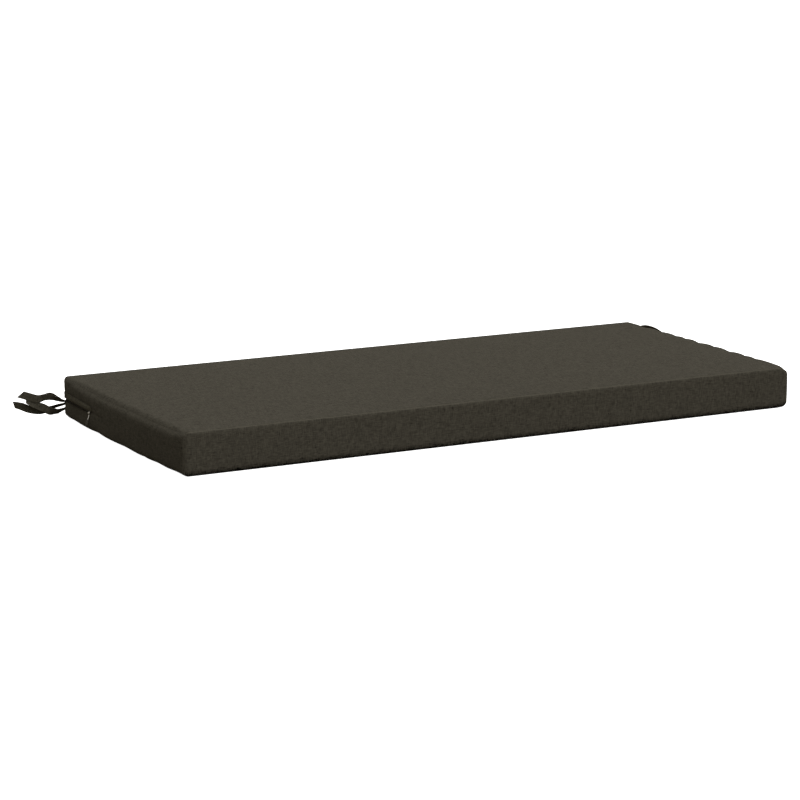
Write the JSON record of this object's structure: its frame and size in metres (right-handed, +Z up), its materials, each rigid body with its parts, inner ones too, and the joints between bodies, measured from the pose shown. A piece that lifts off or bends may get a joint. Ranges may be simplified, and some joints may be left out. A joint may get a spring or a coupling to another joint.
{
  "type": "bench cushion",
  "caption": "Long boxed bench cushion in melange cloth, with puckered end seams, a zip under a flap round its back and cloth ties at both back corners.",
  "frame": {"origin": "middle of the flat underside, halfway along the length and the width of the cushion itself", "axes": "+X along the length, +Y to the back with the zip flap and the ties, +Z up through the thickness"},
  "size_m": [1.2594, 0.5511, 0.072],
  "materials": {
    "cover_cloth": "matte melange plain weave",
    "flap_cloth": "matte melange plain weave",
    "tie_cloth": "matte melange plain weave",
    "chain_tape": "dark woven tape and coil",
    "slider_metal": "satin die-cast metal",
    "pull_metal": "satin stamped metal"
  },
  "bodies": {
    "root": {"cushion": "cover_cloth", "zip_flap": "flap_cloth", "zip_chain": "chain_tape", "zip_slider": "slider_metal", "zip_pull": "pull_metal", "tie_left_upper": "tie_cloth", "tie_left_middle": "tie_cloth", "tie_left_lower": "tie_cloth", "tie_right_upper": "tie_cloth", "tie_right_middle": "tie_cloth", "tie_right_lower": "tie_cloth"}
  },
  "joints": []
}
